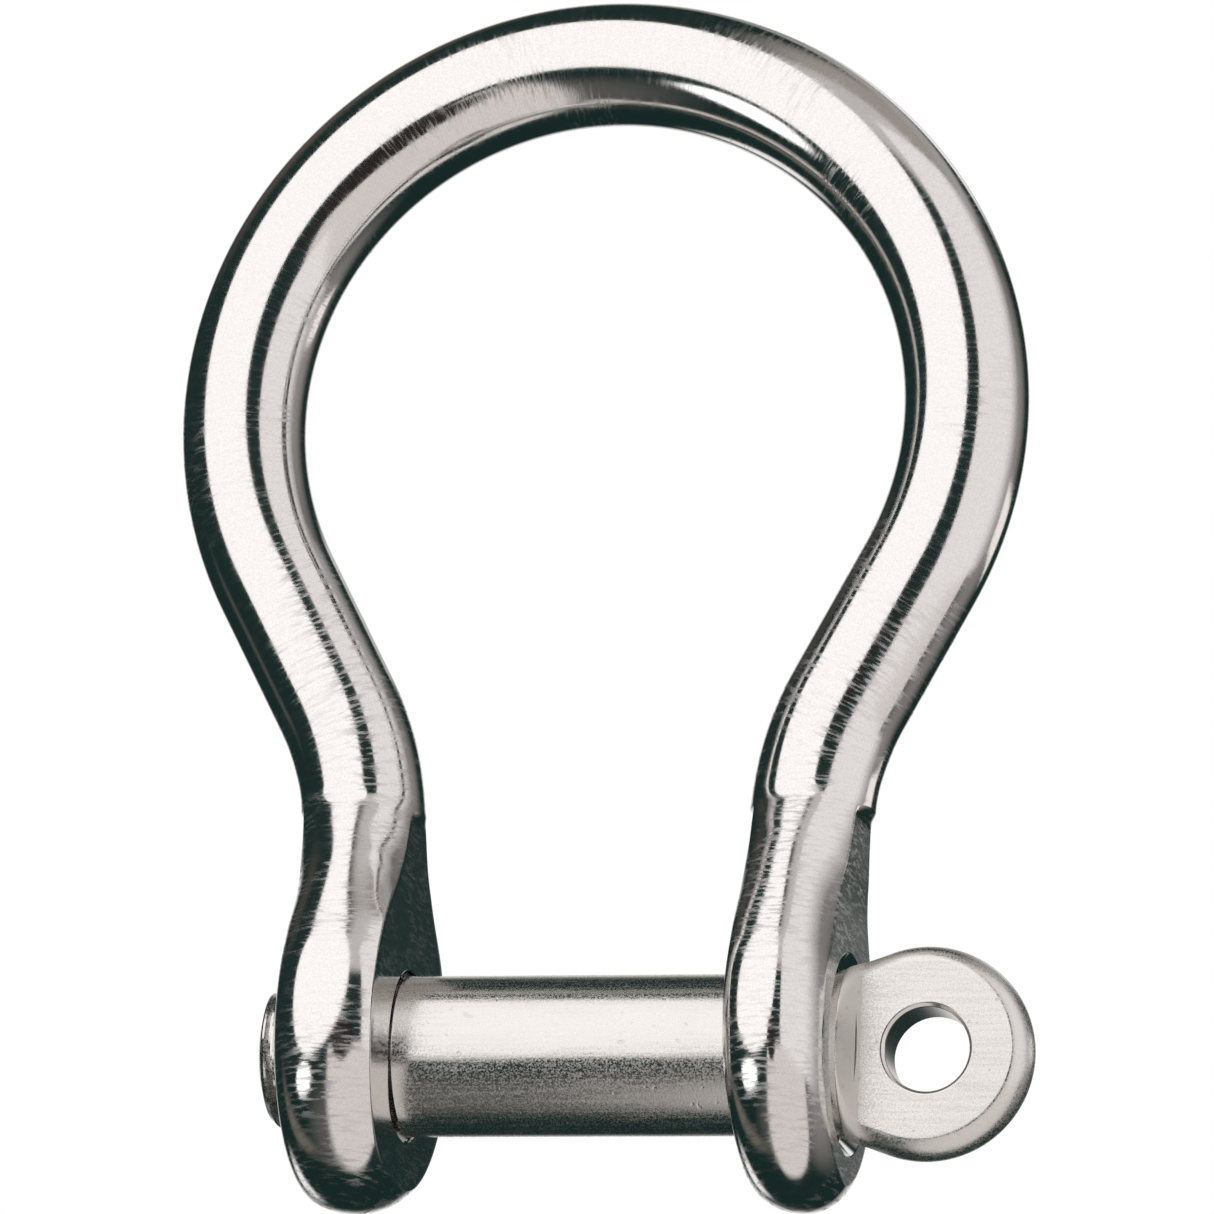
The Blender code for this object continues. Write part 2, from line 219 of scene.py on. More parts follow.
def ring(width, tilt, upper, lower, flat):
    """One closed section as (along, across, through) points, half as wide as width at its rims.

    The rims' profiles are turned by tilt towards the bar, and flat is 0 where the faces between
    the creases follow the round bar and 1 where they are pressed flat. The creases are softened.
    """

    def rim(side, sign, angle):
        inwards = side.inwards(angle)
        across = width - inwards * math.cos(tilt)
        return Vector((inwards * math.sin(tilt), across, sign * side.through(angle)))

    def face(side, sign, edge, share):
        angle = mix(side.bend, math.pi - side.bend, share)
        across = mix(width * math.cos(angle), mix(edge.y, -edge.y, share), flat)
        return Vector((edge.x, across, sign * mix(side.through(angle), side.reach, flat)))

    def soft_crease(side, sign):
        """Points on a small curve over the crease, from the face's side to the rim's."""
        edge = rim(side, sign, side.bend)
        step = side.bend / (RIM_STEPS // 2)
        back = rim(side, sign, side.bend - step)
        gap = max((back - edge).length, MERGE)
        before = rim(side, sign, side.bend - step * min(MOST_SOFT, SOFT_EDGE / gap))
        ahead = face(side, sign, edge, 1 / FACE_STEPS)
        gap = max((ahead - edge).length, MERGE)
        share = min(MOST_SOFT, SOFT_EDGE / gap) / FACE_STEPS
        after = face(side, sign, edge, share)
        control = edge + (edge - (before + after) / 2) * (1 - flat)
        points = []
        for k in range(SOFT_STEPS + 1):
            t = k / SOFT_STEPS
            points.append(after * (1 - t) ** 2 + control * (2 * t * (1 - t)) + before * t**2)
        return points

    half = RIM_STEPS // 2
    front = soft_crease(upper, 1)
    for step in range(half - 1, -half, -1):
        side, sign = (upper, 1) if step > 0 else (lower, -1)
        front.append(rim(side, sign, side.bend * abs(step) / half))
    front += reversed(soft_crease(lower, -1))
    mirrored = [Vector((p.x, -p.y, p.z)) for p in reversed(front)]
    under_edge = rim(lower, -1, lower.bend)
    over_edge = rim(upper, 1, upper.bend)
    under = [face(lower, -1, under_edge, k / FACE_STEPS) for k in range(1, FACE_STEPS)]
    over = [face(upper, 1, over_edge, k / FACE_STEPS) for k in range(FACE_STEPS - 1, 0, -1)]
    return front + under + mirrored + over


def linked(name, data):
    obj = bpy.data.objects.new(name, data)
    bpy.context.scene.collection.objects.link(obj)
    return obj


def solid(name, mesh):
    """The object made of a bmesh, with its faces turned outwards."""
    bmesh.ops.recalc_face_normals(mesh, faces=mesh.faces)
    data = bpy.data.meshes.new(name)
    mesh.to_mesh(data)
    mesh.free()
    return linked(name, data)


def level_square(name, half, height):
    corners = [(x * half, y * half, height) for x, y in ((-1, -1), (1, -1), (1, 1), (-1, 1))]
    data = bpy.data.meshes.new(name)
    data.from_pydata(corners, [], [(0, 1, 2, 3)])
    return linked(name, data)


def loft(name, rings, cap_start):
    """A surface through rings of (point, marks) pairs, where marks place the polishing marks."""
    mesh = bmesh.new()
    layer = mesh.loops.layers.float_vector.new("marks")
    rows = [[mesh.verts.new(point) for point, _ in points] for points in rings]
    for (upper, upper_marks), (lower, lower_marks) in zip(zip(rows, rings), zip(rows[1:], rings[1:])):
        count = len(upper)
        for k in range(count):
            after = (k + 1) % count
            face = mesh.faces.new((upper[k], upper[after], lower[after], lower[k]))
            corners = (upper_marks[k], upper_marks[after], lower_marks[after], lower_marks[k])
            for loop, (_, marks) in zip(face.loops, corners):
                loop[layer] = marks
    if cap_start:
        cap = mesh.faces.new(rows[0])
        for loop, (_, marks) in zip(cap.loops, rings[0]):
            loop[layer] = marks
    bmesh.ops.remove_doubles(mesh, verts=mesh.verts, dist=MERGE)
    return solid(name, mesh)


def bow_stations(path, end):
    """Arc lengths down the path, at most one bend step apart, from the crown to end."""
    stations = [0.0]
    for begun, length, turn, _ in path.runs:
        stop = min(begun + length, end)
        if stop <= begun:
            continue
        count = max(LEAST_STEPS, math.ceil(abs(turn) * (stop - begun) / length / BEND_STEP))
        stations += [mix(begun, stop, k / count) for k in range(1, count + 1)]
    return stations


def ear_ring(outline, station, path, planes, rims, flat):
    """A section of the neck or the ear at an arc length down the ear's outline.

    Below its widest level the outline is squashed, so that it ends at the ear's foot.
    """
    width, height, heading = outline.at(station)
    normal = heading + math.pi / 2
    if height < EAR_RISE:
        height = EAR_RISE - (EAR_RISE - height) * EAR_FOOT / EAR_RADIUS
        normal = math.atan2(math.sin(normal) * EAR_RADIUS, math.cos(normal) * EAR_FOOT)
    inner_plane = planes[0] + INNER_LEAN * ramp(INNER_LEAN_LEVEL, -EAR_FOOT, height)
    outer_plane = planes[1] + OUTER_LEAN * ramp(OUTER_LEAN_LEVEL, SHOULDER_TOP, height)
    x, _, path_heading = path.at(path.station_at(height))
    in_ear = ramp(SHOULDER_FOOT, SETTLED_LEVEL, height)
    middle = mix(x, (inner_plane + outer_plane) / 2, in_ear)
    top = outline.at(0.0)[1]
    begun = path.station_at(top) + top
    upright = ramp(top, SHOULDER_TOP, height)
    lean = (path_heading + math.pi / 2) * (1 - upright)
    tilt = normal * ramp(SHOULDER_FOOT, SHOULDER_FOOT - BAR_RADIUS / 2, height)
    sides = []
    reaches = (outer_plane - middle, middle - inner_plane)
    for reach, (inset, rim_bend) in zip(reaches, reversed(rims)):
        bend = math.asin(min(reach / BAR_RADIUS, STEEPEST_CREASE))
        if not flat:
            sides.append(round_side(width, BAR_RADIUS, mix(ROUND_RIM, bend, upright)))
            continue
        round_inset = width * (1 - math.cos(bend))
        ear_inset = mix(EAR_FOOT_INSET, inset, max(math.cos(normal), 0.0))
        sides.append(Side(reach, mix(round_inset, ear_inset, in_ear), mix(bend, rim_bend, in_ear)))
    points = []
    for along, across, through in ring(width, tilt, *sides, flat):
        world_x = middle + through * math.cos(lean) + along * math.sin(lean)
        world_z = height + through * math.sin(lean) - along * math.cos(lean)
        points.append(((world_x, -across, world_z), (begun - height + along, across, through)))
    return points


def leg_rings(planes, rims):
    """Sections of half the bow, from the crown down the +X leg to the foot of its pressed ear."""
    path = bow_path()
    outline = eye_outline(BAR_RADIUS, EAR_RADIUS, EAR_RISE, EAR_TAPER, EAR_NECK_RADIUS, NECK_LEAD)
    neck_top = path.station_at(outline.at(0.0)[1] + BAR_RADIUS / 4)
    side = round_side(BAR_RADIUS, BAR_RADIUS, ROUND_RIM)
    rings = []
    for station in bow_stations(path, neck_top):
        x, z, heading = path.at(station)
        points = []
        for _, across, through in ring(BAR_RADIUS, 0.0, side, side, 0.0):
            place = (x - through * math.sin(heading), -across, z + through * math.cos(heading))
            points.append((place, (station, across, through)))
        rings.append(points)
    shoulder_top = outline.station_at(SHOULDER_TOP)
    shoulder_foot = outline.station_at(SHOULDER_FOOT)
    taper_end, round_length, _, _ = outline.runs[-1]
    for k in range(TAPER_STEPS):
        station = mix(0.0, shoulder_top, k / TAPER_STEPS)
        rings.append(ear_ring(outline, station, path, planes, rims, 0.0))
    for k in range(SHOULDER_STEPS + 1):
        share = k / SHOULDER_STEPS
        station = mix(shoulder_top, shoulder_foot, share)
        rings.append(ear_ring(outline, station, path, planes, rims, ramp(0.0, 1.0, share)))
    for k in range(1, TAPER_STEPS + 1):
        station = mix(shoulder_foot, taper_end, k / TAPER_STEPS)
        rings.append(ear_ring(outline, station, path, planes, rims, 1.0))
    count = round(round_length / EAR_RADIUS / EYE_STEP)
    for k in range(1, count + 1):
        station = mix(taper_end, outline.length, k / count)
        rings.append(ear_ring(outline, station, path, planes, rims, 1.0))
    return rings


def bow_mesh():
    """The whole bow in one piece, from the foot of the threaded ear over the crown to the other."""
    threaded = []
    for points in leg_rings(THREADED_EAR, THREADED_RIM):
        mirrored = [((-x, y, z), (-along, *rest)) for (x, y, z), (along, *rest) in points]
        threaded.append(mirrored)
    return loft("bow_polished", threaded[:0:-1] + leg_rings(CLEARANCE_EAR, CLEARANCE_RIM), cap_start=False)


def pin_ring(width, x, tilt, side, flat):
    """A section of the pin at x, as (point, marks) pairs."""
    points = []
    for along, across, through in ring(width, tilt, side, side, flat):
        points.append(((x + along, -through, across), (x + along, across, through)))
    return points


def thread_depth(turn, run_out):
    """How deep a screw groove is, as a share, at a number of turns along its helix."""
    off = abs(turn - round(turn)) * 2
    return max(0.0, min(1.0, 1 + GROOVE_ROOT - off / GROOVE_SLOPES)) * run_out


def tip_rings():
    """Sections from the blunt end to the point on its chamfer where the thread's rows begin."""
    rings = []
    for k in range(TIP_STEPS):
        share = k / TIP_STEPS
        radius = mix(TIP_RADIUS, TIP_ROUND_RADIUS, share)
        side = round_side(radius, radius, ROUND_RIM)
        rings.append(pin_ring(radius, mix(TIP_X, TIP_ROUND_X, share), 0.0, side, 0.0))
    return rings


def thread_rings():
    """Sections to the thread's end, with its groove cut into them as a right-hand helix."""
    rows = math.ceil((THREAD_END_X - TIP_ROUND_X) / THREAD_PITCH * ROWS_PER_PITCH)
    side = round_side(THREAD_RADIUS, THREAD_RADIUS, ROUND_RIM)
    rings = []
    for row in range(rows + 1):
        x = mix(TIP_ROUND_X, THREAD_END_X, row / rows)
        chamfered = (x - TIP_ROUND_X) / (TIP_X + TIP_CHAMFER - TIP_ROUND_X)
        outer = mix(TIP_ROUND_RADIUS, THREAD_RADIUS, min(1.0, chamfered))
        run_out = ramp(THREAD_END_X, THREAD_END_X - THREAD_PITCH, x)
        points = []
        for (_, y, z), (_, across, through) in pin_ring(THREAD_RADIUS, x, 0.0, side, 0.0):
            turn = (x - TIP_X) / THREAD_PITCH - math.atan2(z, y) / math.tau
            radius = min(outer, THREAD_RADIUS - THREAD_DEPTH * thread_depth(turn, run_out))
            share = radius / THREAD_RADIUS
            points.append(((x, y * share, z * share), (x, across * share, through * share)))
        rings.append(points)
    return rings


def shank_rings(outline):
    """Sections of the turned shank, whose rims close up towards the start of the slopes."""
    start, end = THREAD_END_X + SHANK_CHAMFER, -outline.at(0.0)[1]
    side = round_side(PIN_RADIUS, PIN_RADIUS, ROUND_RIM)
    rings = []
    for k in range(SHANK_STEPS):
        rings.append(pin_ring(PIN_RADIUS, mix(start, end, k / SHANK_STEPS), 0.0, side, 0.0))
    slope_start = outline.station_at(-SLOPE_START_X)
    for k in range(SHANK_END_STEPS + 1):
        share = k / SHANK_END_STEPS
        width, height, _ = outline.at(share * slope_start)
        bend = mix(ROUND_RIM, SHANK_END_RIM, share)
        rings.append(pin_ring(width, -height, 0.0, round_side(width, PIN_RADIUS, bend), 0.0))
    return rings


def eye_rings(outline):
    """Sections of the two slopes cut down from the shank, then of the eye with its rounded rim."""
    half = EYE_THICKNESS / 2
    last_crease = math.asin(half / PIN_RADIUS)
    rings = []
    for k in range(1, SLOPE_STEPS + 1):
        share = k / SLOPE_STEPS
        reach = PIN_RADIUS * math.sin(mix(math.pi / 2, last_crease, share))
        down = (PIN_RADIUS - reach) / (PIN_RADIUS - half)
        x = mix(SLOPE_START_X, SLOPE_END_X, down)
        width = outline.at(outline.station_at(-x))[0]
        crease = math.sqrt(PIN_RADIUS**2 - reach**2)
        side = Side(reach, width - crease, mix(math.pi / 2, EYE_RIM_BEND, share))
        rings.append(pin_ring(width, x, 0.0, side, 1.0))
    start = outline.station_at(-SLOPE_END_X)
    first_inset = side.inset
    count = round((outline.length - start) / EYE_RADIUS / EYE_STEP)
    for k in range(1, count + 1):
        width, height, heading = outline.at(mix(start, outline.length, k / count))
        settled = ramp(SLOPE_END_X, EYE_X - EYE_RADIUS / 3, -height)
        tilt = (heading + math.pi / 2) * settled
        side = Side(half, mix(first_inset, EYE_INSET, settled), EYE_RIM_BEND)
        rings.append(pin_ring(width, -height, tilt, side, 1.0))
    return rings


def pin_mesh():
    """The pin along X: threaded end, turned shank, the slopes cut down to the eye, and the eye."""
    outline = eye_outline(PIN_RADIUS, EYE_RADIUS, -EYE_X, EYE_TAPER, EYE_NECK_RADIUS)
    rings = tip_rings() + thread_rings() + shank_rings(outline) + eye_rings(outline)
    return loft("pin_satin", rings, cap_start=True)


def lathe(name, profile, groove=None):
    """A cutter turned about Z from (radius, height) points that run up, closed at both ends.

    groove(height, angle) adds to the radius of the points between the profile's end points.
    """
    mesh = bmesh.new()
    rows = []
    for index, (radius, height) in enumerate(profile):
        row = []
        for k in range(HOLE_STEPS):
            angle = k / HOLE_STEPS * math.tau
            extra = groove(height, angle) if groove and 0 < index < len(profile) - 1 else 0.0
            reach = radius + extra
            row.append(mesh.verts.new((reach * math.cos(angle), reach * math.sin(angle), height)))
        rows.append(row)
    for lower, upper in zip(rows, rows[1:]):
        for k in range(HOLE_STEPS):
            after = (k + 1) % HOLE_STEPS
            mesh.faces.new((lower[k], lower[after], upper[after], upper[k]))
    mesh.faces.new(reversed(rows[0]))
    mesh.faces.new(rows[-1])
    return solid(name, mesh)


def hole_profile(low, high, radius, low_chamfer, high_chamfer):
    """A hole's (radius, height) points, with a chamfer at each face whose two edges are eased."""
    ease = HOLE_CHAMFER / 4
    beyond = radius / 4
    profile = []
    for face, chamfer, outward in ((low, low_chamfer, -1), (high, high_chamfer, 1)):
        end = [
            (radius + chamfer + ease + beyond * 3, face + outward * beyond),
            (radius + chamfer, face - outward * ease / 3),
            (radius + ease / 3, face - outward * chamfer),
            (radius, face - outward * (chamfer + ease)),
        ]
        profile += end if outward < 0 else end[::-1]
    return profile


def cut(target, cutter):
    """Takes the cutter's shape out of the target for good, and removes the cutter."""
    boolean = target.modifiers.new(cutter.name, "BOOLEAN")
    boolean.operation = "DIFFERENCE"
    boolean.object = cutter
    bpy.context.view_layer.update()
    evaluated = target.evaluated_get(bpy.context.evaluated_depsgraph_get())
    data = bpy.data.meshes.new_from_object(evaluated)
    target.modifiers.remove(boolean)
    target.data = data
    bpy.data.objects.remove(cutter)


def shade(obj):
    obj.data.shade_smooth()
    obj.data.set_sharp_from_angle(angle=SHARP)


def build_bow():
    """The bow with its plain hole, and its threaded hole in which the groove is part of the wall."""
    bow = bow_mesh()
    plain = hole_profile(*CLEARANCE_EAR, CLEARANCE_RADIUS, HOLE_CHAMFER, CLEARANCE_COUNTERSINK)
    right = lathe("clearance_hole", plain)
    inner, outer = THREADED_EAR
    ends = hole_profile(-outer, -inner, THREADED_RADIUS, HOLE_CHAMFER, HOLE_CHAMFER)
    low, high = ends[3][1], ends[4][1]
    rows = math.ceil((high - low) / THREAD_PITCH * ROWS_PER_PITCH)
    wall = [(THREADED_RADIUS, mix(low, high, row / rows)) for row in range(1, rows)]

    def groove(height, angle):
        if not low - HOLE_CHAMFER / 2 <= height <= high + HOLE_CHAMFER / 2:
            return 0.0
        turn = (height - TIP_X) / THREAD_PITCH - angle / math.tau
        return GROOVE_DEPTH * (1 - thread_depth(turn + 0.5, 1.0))

    left = lathe("threaded_hole", ends[:4] + wall + ends[4:], groove)
    for cutter in (right, left):
        cutter.rotation_euler.y = math.pi / 2
        cut(bow, cutter)
    shade(bow)
    return bow


def build_pin():
    pin = pin_mesh()
    half = EYE_THICKNESS / 2
    profile = hole_profile(-half, half, EYE_HOLE_RADIUS, EYE_HOLE_CHAMFER, EYE_HOLE_CHAMFER)
    eye = lathe("eye_hole", profile)
    eye.rotation_euler.x = math.pi / 2
    eye.location.x = EYE_HOLE_X
    cut(pin, eye)
    shade(pin)
    return pin


def add(tree, kind, inputs=(), **settings):
    """A shader node of this kind, with its settings made and each input given a value or a link."""
    node = tree.nodes.new("ShaderNode" + kind)
    for key, value in settings.items():
        setattr(node, key, value)
    for key, value in dict(inputs).items():
        if isinstance(value, bpy.types.NodeSocket):
            tree.links.new(value, node.inputs[key])
        else:
            node.inputs[key].default_value = value
    return node


def calc(tree, operation, *values):
    return add(tree, "Math", enumerate(values), operation=operation).outputs[0]


def span(tree, value, low, high, to_low=0.0, to_high=1.0):
    """The value's place between low and high as a smooth step, spread from to_low to to_high."""
    inputs = {"Value": value, "From Min": low, "From Max": high, "To Min": to_low, "To Max": to_high}
    return add(tree, "MapRange", inputs, interpolation_type="SMOOTHSTEP").outputs["Result"]


def marks_place(tree):
    """The marks' own place: along the piece, and two directions around it."""
    return add(tree, "Attribute", attribute_name="marks").outputs["Vector"]


def marks_noise(tree, along, around, detail=3.0, shift=0.0):
    """Noise in the marks' own directions, as features per metre along the piece and around it."""
    inputs = {"Vector": marks_place(tree), "Scale": (along, around, around)}
    inputs["Location"] = (shift, shift, shift)
    place = add(tree, "Mapping", inputs).outputs["Vector"]
    return add(tree, "TexNoise", {"Vector": place, "Scale": 1.0, "Detail": detail}).outputs["Fac"]


def set_roughness(tree, shader, base, *parts):
    """The base roughness, and on top of it the amount of each (value, amount) pair."""
    rough = base
    for value, amount in parts:
        rough = calc(tree, "MULTIPLY_ADD", value, amount, rough)
    tree.links.new(rough, shader.inputs["Roughness"])


def set_relief(tree, shader, *layers):
    """Bumps from (height, depth in metres) pairs, each laid over the one before."""
    normal = None
    for height, depth in layers:
        inputs = {"Height": height, "Distance": depth}
        if normal is not None:
            inputs["Normal"] = normal
        normal = add(tree, "Bump", inputs).outputs["Normal"]
    tree.links.new(normal, shader.inputs["Normal"])


def metal(name, colour):
    material = bpy.data.materials.new(name)
    material.use_nodes = True
    shader = material.node_tree.nodes["Principled BSDF"]
    shader.inputs["Base Color"].default_value = (*colour, 1.0)
    shader.inputs["Metallic"].default_value = 1.0
    return material, material.node_tree, shader


def marks_along(tree):
    return add(tree, "SeparateXYZ", {"Vector": marks_place(tree)}).outputs[0]


DULL_SHADE = 0.86
GRAIN_TINT = (0.93, 1.05)


def tinted(tree, shader, colour, shade_by, grain):
    """The base colour, darkened where shade_by is high and varied by a fine grain."""
    shaded = (*(channel * DULL_SHADE for channel in colour), 1.0)
    blend = {"Factor": shade_by, 6: (*colour, 1.0), 7: shaded}
    dull = add(tree, "Mix", blend, data_type="RGBA").outputs[2]
    lit = span(tree, grain, 0.25, 0.75, *GRAIN_TINT)
    blend = {"Factor": 1.0, 6: dull, 7: lit}
    grained = add(tree, "Mix", blend, data_type="RGBA", blend_type="MULTIPLY")
    tree.links.new(grained.outputs[2], shader.inputs["Base Color"])


def polished_steel():
    """Mirror-polished stainless steel with polishing marks round the bar, and duller pressed flats.

    The marks are narrow streaks of a rougher finish. They are strongest on the necks and ears.
    """
    colour = (0.82, 0.80, 0.785)
    material, tree, shader = metal("steel_polished", colour)
    along = calc(tree, "ABSOLUTE", marks_along(tree))
    low_down = span(tree, along, NECK_STATION - 2 * EAR_RADIUS, NECK_STATION)
    waves = marks_noise(tree, 420, 160, detail=2.0)
    streaks = marks_noise(tree, 7500, 1300, detail=4.0, shift=3.1)
    patches = marks_noise(tree, 190, 330, detail=3.0, shift=7.7)
    grain = marks_noise(tree, 14000, 14000, detail=2.0, shift=11.3)
    worn = span(tree, calc(tree, "MULTIPLY_ADD", low_down, 0.14, patches), 0.46, 0.70)
    side = calc(tree, "SIGN", marks_along(tree))
    normal = add(tree, "NewGeometry").outputs["Normal"]
    facing = add(tree, "SeparateXYZ", {"Vector": normal}).outputs[0]
    outwards = calc(tree, "MULTIPLY", facing, side)
    pressed = span(tree, along, SHOULDER_STATION - SOFT_EDGE, SHOULDER_STATION + SOFT_EDGE)
    outer = calc(tree, "MULTIPLY", span(tree, outwards, 0.95, 0.985), pressed)
    inner = calc(tree, "MULTIPLY", span(tree, outwards, -0.95, -0.985), pressed)
    strength = span(tree, worn, 0.0, 1.0, 0.25, 1.0)
    marked = calc(tree, "MULTIPLY", span(tree, streaks, 0.44, 0.66), strength)
    marked = calc(tree, "MULTIPLY", marked, span(tree, inner, 0.0, 1.0, 1.0, 0.3))
    set_roughness(tree, shader, 0.095, (marked, 0.24), (outer, 0.11))
    tinted(tree, shader, colour, calc(tree, "MULTIPLY", marked, 0.5), grain)
    scored = calc(tree, "MULTIPLY", streaks, span(tree, worn, 0.0, 1.0, 0.5, 2.0))
    set_relief(tree, shader, (waves, 0.8e-5), (scored, 1.6e-6), (grain, 1.0e-6))
    return material


def satin_steel():
    """Turned and brushed stainless steel: fine lines along the pin, grain, and a few pits.

    The slopes down to the eye are left rougher by the cutter.
    """
    colour = (0.80, 0.78, 0.75)
    material, tree, shader = metal("steel_satin", colour)
    along = marks_along(tree)
    lines = marks_noise(tree, 350, 9000, detail=3.0)
    grain = marks_noise(tree, 13000, 13000, detail=2.0, shift=5.3)
    patches = marks_noise(tree, 300, 700, detail=3.0, shift=1.9)
    pits = span(tree, marks_noise(tree, 2300, 2600, detail=1.0, shift=8.8), 0.70, 0.76)
    begun = span(tree, along, SLOPE_START_X, SLOPE_START_X + SOFT_EDGE)
    slopes = calc(tree, "MULTIPLY", begun, span(tree, along, SLOPE_END_X, SLOPE_END_X - SOFT_EDGE))
    eye = span(tree, along, SLOPE_END_X - SOFT_EDGE, SLOPE_END_X)
    scored = span(tree, lines, 0.4, 0.7)
    frosted = span(tree, grain, 0.35, 0.65)
    uneven = ((patches, 0.06), (scored, 0.08), (frosted, 0.19), (slopes, 0.30), (eye, 0.08))
    set_roughness(tree, shader, 0.08, *uneven)
    dulled = calc(tree, "MAXIMUM", pits, calc(tree, "MULTIPLY", patches, 0.4))
    tinted(tree, shader, colour, dulled, grain)
    turned = calc(tree, "MULTIPLY", lines, span(tree, eye, 0.0, 1.0, 1.0, 0.25))
    set_relief(tree, shader, (turned, 2.4e-6), (grain, 2.0e-6), (pits, -4.0e-6))
    return material


CAMERA_AZIMUTH = math.radians(12.979)
CAMERA_ELEVATION = math.radians(-13.480)
CAMERA_ROLL = math.radians(2.2237)
CAMERA_DISTANCE = 0.408334
CAMERA_TARGET = Vector((0.000468, 0.0, 0.018162))
CAMERA_LENS = 304.812


def build_camera():
    """A long lens a little below and to the right of the shackle, rolled by a couple of degrees."""
    data = bpy.data.cameras.new("camera")
    data.lens = CAMERA_LENS
    data.sensor_width = 36.0
    data.clip_start = 0.01
    camera = linked("camera", data)
    sine, cosine = math.sin(CAMERA_AZIMUTH), math.cos(CAMERA_AZIMUTH)
    level = math.cos(CAMERA_ELEVATION)
    back = Vector((sine * level, -cosine * level, math.sin(CAMERA_ELEVATION)))
    right = Vector((cosine, sine, 0.0))
    up = back.cross(right)
    turned = math.cos(CAMERA_ROLL) * right + math.sin(CAMERA_ROLL) * up
    over = back.cross(turned)
    rotation = Matrix((turned, over, back)).transposed()
    place = CAMERA_TARGET + back * CAMERA_DISTANCE
    camera.matrix_world = Matrix.Translation(place) @ rotation.to_4x4()
    bpy.context.scene.camera = camera


OBJECT_CENTRE = Vector((0.0, 0.0, 0.018))
FLOOR_HEIGHT = -0.16
FLOOR_EDGE = 3.0


def toward(azimuth, elevation):
    """A direction. Azimuth 0 is -Y, in front of the shackle, and 90 is +X."""
    across, up = math.radians(azimuth), math.radians(elevation)
    return Vector((math.sin(across) * math.cos(up), -math.cos(across) * math.cos(up), math.sin(up)))


def sideways(azimuth):
    return Vector((math.cos(math.radians(azimuth)), math.sin(math.radians(azimuth)), 0.0))


# A panel's outline is |x|^p + |y|^p = 1: its power p for nearly a rectangle, and for an ellipse.
RECTANGLE_POWER = 10.0
ELLIPSE_POWER = 2.0


def build_panel(name, place, facing, size, colour, strength, soft, round_off, fade=0.1, dim=1.0):
    """A glowing panel that only the metal sees, with soft edges. round_off is 1 for an ellipse.

    Over the share `fade` of its width, the end at local -X falls to `dim` of the glow.
    """
    panel = level_square(name, 1, 0)
    rotation = facing.to_track_quat("Z", "Y").to_matrix().to_4x4()
    scale = Matrix.Diagonal((size[0] / 2, size[1] / 2, 1.0, 1.0))
    panel.matrix_world = Matrix.Translation(place) @ rotation @ scale
    panel.visible_camera = False
    panel.visible_diffuse = False
    panel.visible_shadow = False
    material = bpy.data.materials.new(name)
    material.use_nodes = True
    tree = material.node_tree
    tree.nodes.clear()
    local = add(tree, "TexCoord").outputs["Object"]
    split = add(tree, "SeparateXYZ", {"Vector": local}).outputs
    x, y = (calc(tree, "ABSOLUTE", split[k]) for k in (0, 1))
    power = mix(RECTANGLE_POWER, ELLIPSE_POWER, round_off)
    reach = calc(tree, "ADD", calc(tree, "POWER", x, power), calc(tree, "POWER", y, power))
    shown = span(tree, calc(tree, "POWER", reach, 1 / power), 1.0, 1.0 - soft)
    level = span(tree, split[0], -1.0, 2.0 * fade - 1.0, dim * strength, strength)
    glow = add(tree, "Emission", {"Color": (*colour, 1.0), "Strength": level}).outputs[0]
    clear = add(tree, "BsdfTransparent").outputs[0]
    both = add(tree, "MixShader", {0: shown, 1: clear, 2: glow}).outputs[0]
    add(tree, "OutputMaterial", {"Surface": both})
    panel.data.materials.append(material)


# What the metal sees far off is a dark studio with pale patches in it. A patch is its azimuth,
# elevation, half width and half height in degrees, then its softness and its colour.
DARK_STUDIO = (0.010, 0.026, 0.024)
WORLD_PATCHES = (
    (0, -72, 27, 30, 0.6, (0.10, 0.10, 0.095)),  # under the front
    (118, 6, 20, 34, 0.9, (0.30, 0.28, 0.27)),  # right, fading
    (84, 66, 38, 18, 0.4, (0.36, 0.33, 0.31)),  # high on the right
    (45, 55, 24, 15, 0.25, (0.58, 0.555, 0.545)),  # high at the front right
    (-98, -38, 7, 28, 0.6, (0.16, 0.15, 0.13)),  # low on the left
    (150, 50, 30, 7, 0.5, (0.38, 0.38, 0.37)),  # the rest are behind
    (172, 33, 8, 7, 0.5, (1.0, 1.0, 1.0)),
    (-143, -18, 11, 7, 0.5, (1.0, 1.0, 1.0)),
    (-137, 38, 18, 10, 0.8, (0.09, 0.075, 0.065)),
    (-167, 14, 18, 22, 0.5, (0.85, 0.84, 0.83)),
)
WHITE = (1.0, 1.0, 1.0, 1.0)


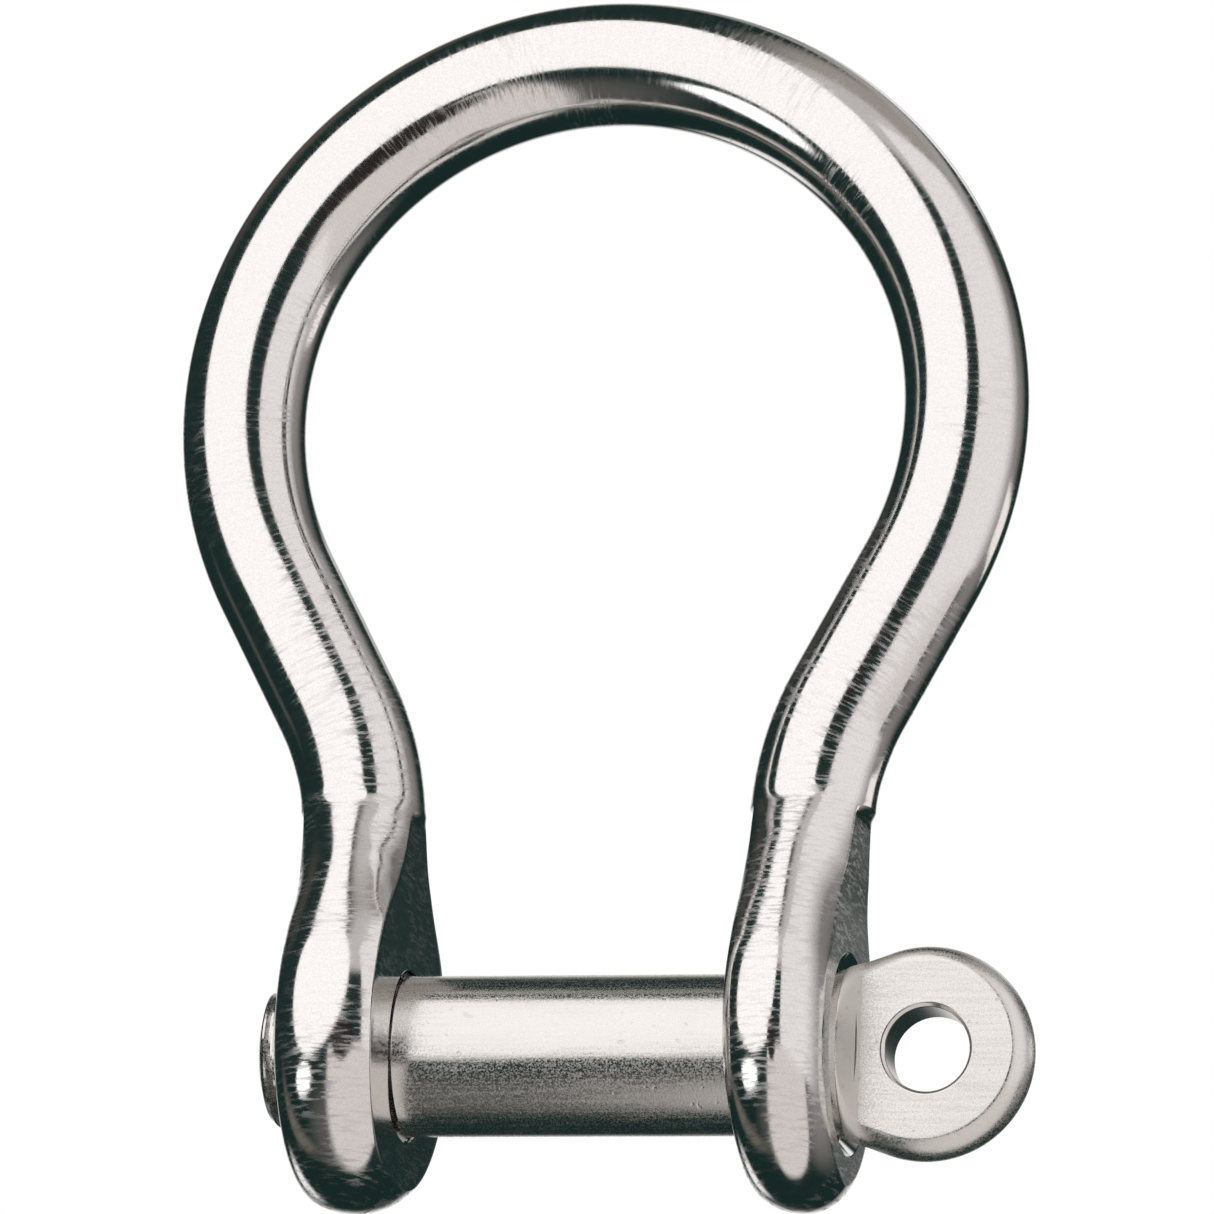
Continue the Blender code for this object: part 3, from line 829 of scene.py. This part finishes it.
def build_world():
    """White behind the object and on the floor; the metal sees a dark studio with pale patches."""
    world = bpy.data.worlds.new("studio")
    bpy.context.scene.world = world
    world.use_nodes = True
    tree = world.node_tree
    tree.nodes.clear()
    direction = add(tree, "TexCoord").outputs["Generated"]
    colour = (*DARK_STUDIO, 1.0)
    for azimuth, elevation, wide, high, soft, tint in WORLD_PATCHES:
        centre, right = toward(azimuth, elevation), sideways(azimuth)
        up = right.cross(-centre)
        ahead, x, y = (
            add(tree, "VectorMath", {0: direction, 1: axis}, operation="DOT_PRODUCT").outputs["Value"]
            for axis in (centre, right, up)
        )
        near = calc(tree, "MAXIMUM", ahead, 0.001)
        squares = []
        for value, half in ((x, wide), (y, high)):
            share = calc(tree, "DIVIDE", calc(tree, "DIVIDE", value, near), math.tan(math.radians(half)))
            squares.append(calc(tree, "POWER", share, 2.0))
        reach = calc(tree, "POWER", calc(tree, "ADD", *squares), 0.5)
        shown = span(tree, reach, 1.0 + soft, 1.0 - soft)
        blend = {"Factor": shown, 6: colour, 7: (*tint, 1.0)}
        colour = add(tree, "Mix", blend, data_type="RGBA").outputs[2]
    glossy = add(tree, "LightPath").outputs["Is Glossy Ray"]
    seen = add(tree, "Mix", {"Factor": glossy, 6: WHITE, 7: colour}, data_type="RGBA").outputs[2]
    background = add(tree, "Background", {"Color": seen}).outputs[0]
    add(tree, "OutputWorld", {"Surface": background})


def build_floor():
    floor = level_square("floor", FLOOR_EDGE, FLOOR_HEIGHT)
    floor.visible_glossy = False
    material = bpy.data.materials.new("pale_floor")
    material.use_nodes = True
    shader = material.node_tree.nodes["Principled BSDF"]
    shader.inputs["Base Color"].default_value = (0.82, 0.82, 0.81, 1.0)
    shader.inputs["Roughness"].default_value = 0.9
    floor.data.materials.append(material)


def facing_panel(name, centre, direction, distance, size, colour, **look):
    """A panel in a direction (azimuth, elevation) from the centre, which it faces."""
    way = toward(*direction)
    build_panel(name, centre + way * distance, -way, size, colour, **look)


# The side card stands upright between two places, as azimuth in degrees and distance.
SIDE_CARD_ENDS = ((36, 0.15), (118, 0.21))
SIDE_CARD_RISE = 0.0885
SIDE_CARD_HEIGHT = 0.273
TABLE_PLACE = (0.28, -0.20, -0.10)


def build_panels():
    """Two soft lights, a tall card and a pale table at the sides, a small card that lights the
    slope beside the eye, and a dark shade where the camera stands."""
    up = Vector((0.0, 0.0, 1.0))
    facing_panel("key_light", OBJECT_CENTRE, (-27.5, 27.0), 0.28, (0.47, 0.60),
                 (1.19, 1.165, 1.165), strength=1.0, soft=0.06, round_off=1.0)
    facing_panel("low_light", OBJECT_CENTRE, (-47, -31), 0.35, (0.21, 0.13),
                 (1.0, 1.0, 1.0), strength=1.5, soft=0.15, round_off=1.0)
    first, last = (OBJECT_CENTRE + toward(azimuth, 0) * away for azimuth, away in SIDE_CARD_ENDS)
    card = (first + last) / 2 + up * SIDE_CARD_RISE
    size = ((last - first).length, SIDE_CARD_HEIGHT)
    build_panel("side_card", card, up.cross(last - first).normalized(), size,
                (0.90, 0.865, 0.865), strength=1.0, soft=0.05, round_off=0.0, fade=0.45, dim=0.42)
    build_panel("table", OBJECT_CENTRE + Vector(TABLE_PLACE), up, (0.60, 0.50),
                (0.74, 0.70, 0.68), strength=1.0, soft=0.04, round_off=0.0)
    facing_panel("edge_card", Vector((SLOPE_START_X, 0.0, 0.0)), (132, 11), 0.09, (0.045, 0.024),
                 (1.0, 0.95, 0.92), strength=1.0, soft=0.4, round_off=0.3)
    facing_panel("camera_shade", OBJECT_CENTRE, (12, -13), 0.15, (0.072, 0.090),
                 (0.02, 0.017, 0.015), strength=1.0, soft=0.15, round_off=1.0)


def dress(piece, body, node, material):
    piece.data.materials.clear()
    piece.data.materials.append(material)
    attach(piece, body)
    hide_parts(node)


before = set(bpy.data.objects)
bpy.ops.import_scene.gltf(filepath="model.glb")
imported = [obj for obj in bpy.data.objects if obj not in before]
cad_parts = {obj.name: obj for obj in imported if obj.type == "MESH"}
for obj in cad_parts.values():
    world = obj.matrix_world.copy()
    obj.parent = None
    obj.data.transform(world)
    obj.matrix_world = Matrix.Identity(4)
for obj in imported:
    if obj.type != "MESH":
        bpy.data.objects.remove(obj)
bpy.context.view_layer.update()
dress(build_bow(), "bow", "bow_body", polished_steel())
dress(build_pin(), "pin", "screw_pin", satin_steel())
build_camera()
build_floor()
build_world()
build_panels()
bpy.context.scene.view_settings.view_transform = "Standard"
